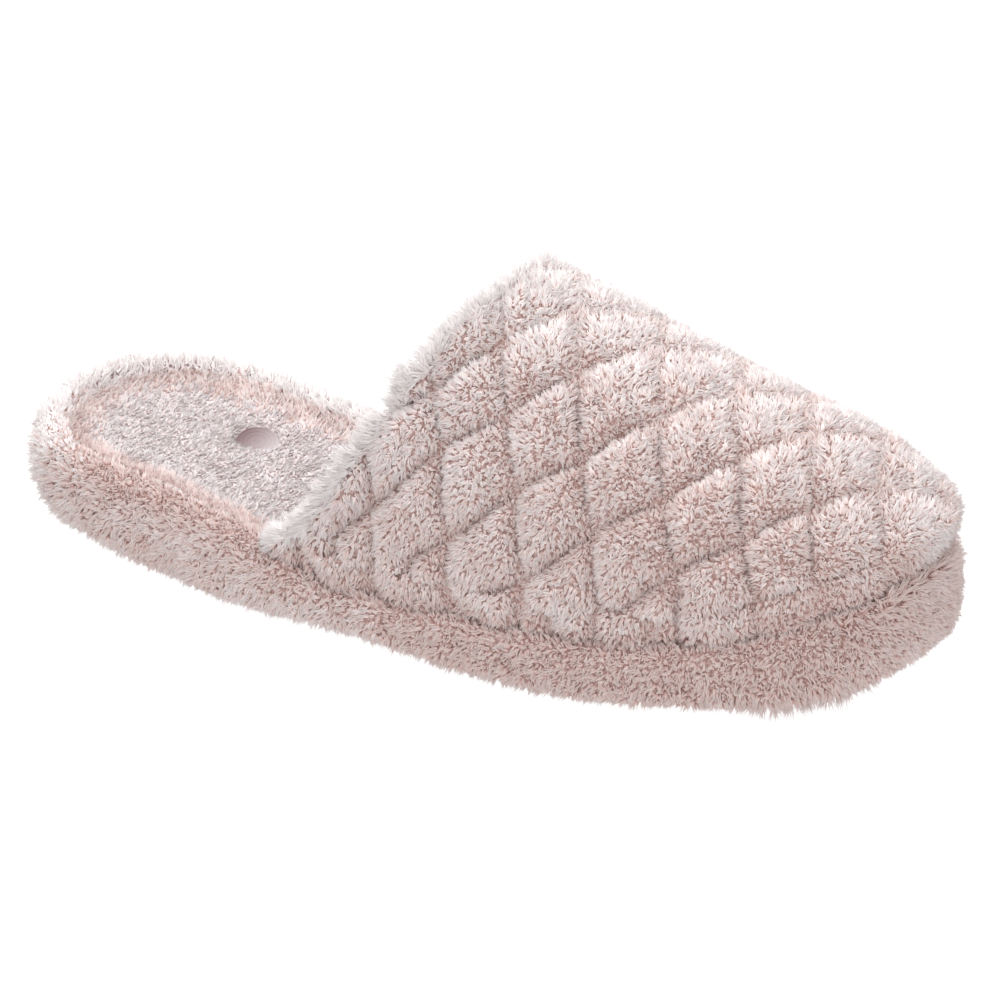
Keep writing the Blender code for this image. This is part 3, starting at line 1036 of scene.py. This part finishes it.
row_step = np.linalg.norm(np.diff(skin, axis=0), axis=-1)
collar_row = np.zeros((1, UPPER_COLUMNS))
from_outer = np.concatenate([collar_row, np.cumsum(row_step, axis=0)])
from_inner = np.concatenate([collar_row, np.cumsum(row_step[::-1], axis=0)])[::-1]
from_collar = np.minimum(from_outer, from_inner)
turned_up = LINING_TURN * bell(from_collar, 0, COLLAR_FOLD)
lining_depth = np.maximum(LINING_DEPTH - turned_up, skin_depth + LINING_CLEAR)
lining_sheet = face - normal * lining_depth[..., None]
lining_rows = np.r_[
    0:LINING_FINE:4,
    LINING_FINE:UPPER_ROWS - LINING_FINE:8,
    UPPER_ROWS - LINING_FINE:UPPER_ROWS:4,
    UPPER_ROWS - 1,
]
lining_cloth = backing("lining_cloth", (0.80, 0.66, 0.63), (0.66, 0.50, 0.47))
upper = add_skin("upper_shell", skin[::2, ::2], rose_backing)
lining = add_skin("upper_lining", lining_sheet[lining_rows, 4::6], lining_cloth)
for sheet in (upper, lining):
    cloth = sheet.modifiers.new("cloth", "SOLIDIFY")
    cloth.thickness = CLOTH * MM
    cloth.offset = -1
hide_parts("upper")

middle_row = UPPER_ROWS // 2
for half, rows, seed in (
    ("outer", slice(0, middle_row + 1), 80),
    ("inner", slice(middle_row, UPPER_ROWS), 90),
):
    random = np.random.default_rng(seed)
    spots = scatter(skin[rows], UPPER_SPACING, random)
    place = read(skin[rows], spots)
    in_crease = 1 - read(pad[rows], spots)
    lowered = read(below_top[rows], spots)
    to_collar = read(from_collar[rows], spots)
    stem = read(puffed[rows], spots)
    stem[:, 2] -= PAD_DROOP + LOW_PAD_DROOP * ramp(read(down[rows], spots), *LOW_PAD)
    stem += UPPER_SWAY * sway(place, UPPER_SWAY_SIZE, seed)
    length = PILE * (1 - in_crease * (0.05 + 0.35 * lowered))
    length *= 1 + 0.3 * bell(to_collar, 0, COLLAR_SHAG)
    length *= 1 + 0.08 * drift(place, 6, seed + 4)
    # Tufts vary at random; the pile is darkened in the creases and near the seam as painted shade, and paled
    # over the top, high up near the collar and at the fold as painted light
    tone = mottled(place, 0.52, 0.14, 12, seed + 5, 0.2, random)
    tone -= 0.8 * in_crease**1.5
    tone -= 0.6 * ramp(read(rise[rows], spots), *SEAM_SHADE_RISE)
    tone += 0.4 * ramp(place[:, 2], *PAINTED_LIGHT_Z) * bell(to_collar, 0, COLLAR_LIGHT_REACH)
    tone += 0.3 * bell(to_collar, 0, COLLAR_FOLD) + 0.28 * (1 - lowered)
    pile = add_pile("upper_pile_" + half, place, stem, length, tone, plush_pile, seed + 6)

# Collar edge
# The plush turned over the edge of the upper's opening, from the outer corner over the instep to the
# inner corner. Its pile stands out from the fold as a pale fringe, whose paleness is painted light.
FOLD = 1.4
FOLD_TURN = 1.15 * np.pi
FOLD_POINTS = 17
FRINGE = 4.0
FRINGE_SPACING = 0.72
FRINGE_SWAY = 0.25
FRINGE_SWAY_SIZE = 7.0
COLLAR_SEED = 100
edge_line = np.concatenate([skin[0], skin[-1, ::-1]])
edge_normal = np.concatenate([normal[0], normal[-1, ::-1]])
edge_away = unit(np.concatenate([skin[0] - skin[2], skin[-1, ::-1] - skin[-3, ::-1]]))
edge_away = unit(edge_away - edge_normal * np.sum(edge_away * edge_normal, -1, keepdims=True))
around = np.linspace(0, FOLD_TURN, FOLD_POINTS)[:, None]
radial = edge_normal[:, None] * np.cos(around) + edge_away[:, None] * np.sin(around)
fold = edge_line[:, None] - edge_normal[:, None] * FOLD + radial * FOLD
random = np.random.default_rng(COLLAR_SEED)
spots = scatter(fold + radial * FOLD, FRINGE_SPACING, random)
place = read(fold, spots)
stem = read(radial, spots) + FRINGE_SWAY * sway(place, FRINGE_SWAY_SIZE, COLLAR_SEED + 1)
# On the outer side the fringe is longest half way up and again near the top
bushy = 0.5 * bell(place[:, 2], 50, 14) + 0.75 * bell(place[:, 2], 73, 5.5)
length = FRINGE * (1 + 0.12 * drift(place, 5, COLLAR_SEED + 5)) * (1 + bushy * (place[:, 1] < 0))
# The fringe is at its palest in the lit copy of the plush: painted light
tone = mottled(place, 1.0, 0.1, 12, COLLAR_SEED + 6, 0.1, random)
collar_pile = add_pile("collar_pile", place, stem, length, tone, lit_rim_plush, COLLAR_SEED + 7)

# Floor and light
# A plain white sweep under soft studio light: an even white surround, a broad lamp above and behind
# the heel that brightens the tops of the pads, and a weaker one in front of the outer side.
FLOOR_HALF = 6.0
FLOOR_GLOW = 0.92
LAMP_AIM = Vector((0.0, 0.0, 0.04))
bm = bmesh.new()
bmesh.ops.create_grid(bm, x_segments=1, y_segments=1, size=FLOOR_HALF)
floor_mesh = bpy.data.meshes.new("floor")
bm.to_mesh(floor_mesh)
bm.free()
floor = bpy.data.objects.new("floor", floor_mesh)
bpy.context.scene.collection.objects.link(floor)
floor_material, floor_shader, _ = finish("white_sweep", 0.9)
floor_shader.inputs["Base Color"].default_value = (0.2, 0.2, 0.2, 1.0)
floor_shader.inputs["Emission Color"].default_value = (1.0, 1.0, 1.0, 1.0)
floor_shader.inputs["Emission Strength"].default_value = FLOOR_GLOW
floor_mesh.materials.append(floor_material)

world = bpy.data.worlds.new("studio")
bpy.context.scene.world = world
world.use_nodes = True
surround = world.node_tree.nodes["Background"]
surround.inputs["Color"].default_value = (1.0, 1.0, 1.0, 1.0)
surround.inputs["Strength"].default_value = 1.0
bpy.context.scene.view_settings.view_transform = "Standard"
bpy.context.scene.cycles.diffuse_bounces = 8


def add_lamp(name, place, size, power):
    """A square soft lamp that faces the slipper."""
    lamp = bpy.data.objects.new(name, bpy.data.lights.new(name, "AREA"))
    bpy.context.scene.collection.objects.link(lamp)
    lamp.data.shape = "SQUARE"
    lamp.data.size = size
    lamp.data.energy = power
    lamp.location = place
    lamp.rotation_mode = "QUATERNION"
    lamp.rotation_quaternion = (Vector(place) - LAMP_AIM).to_track_quat("Z", "Y")


add_lamp("top_lamp", (-0.45, 0.35, 1.1), size=1.6, power=19.5)
add_lamp("front_lamp", (0.7, -1.3, 0.9), size=1.4, power=8.0)
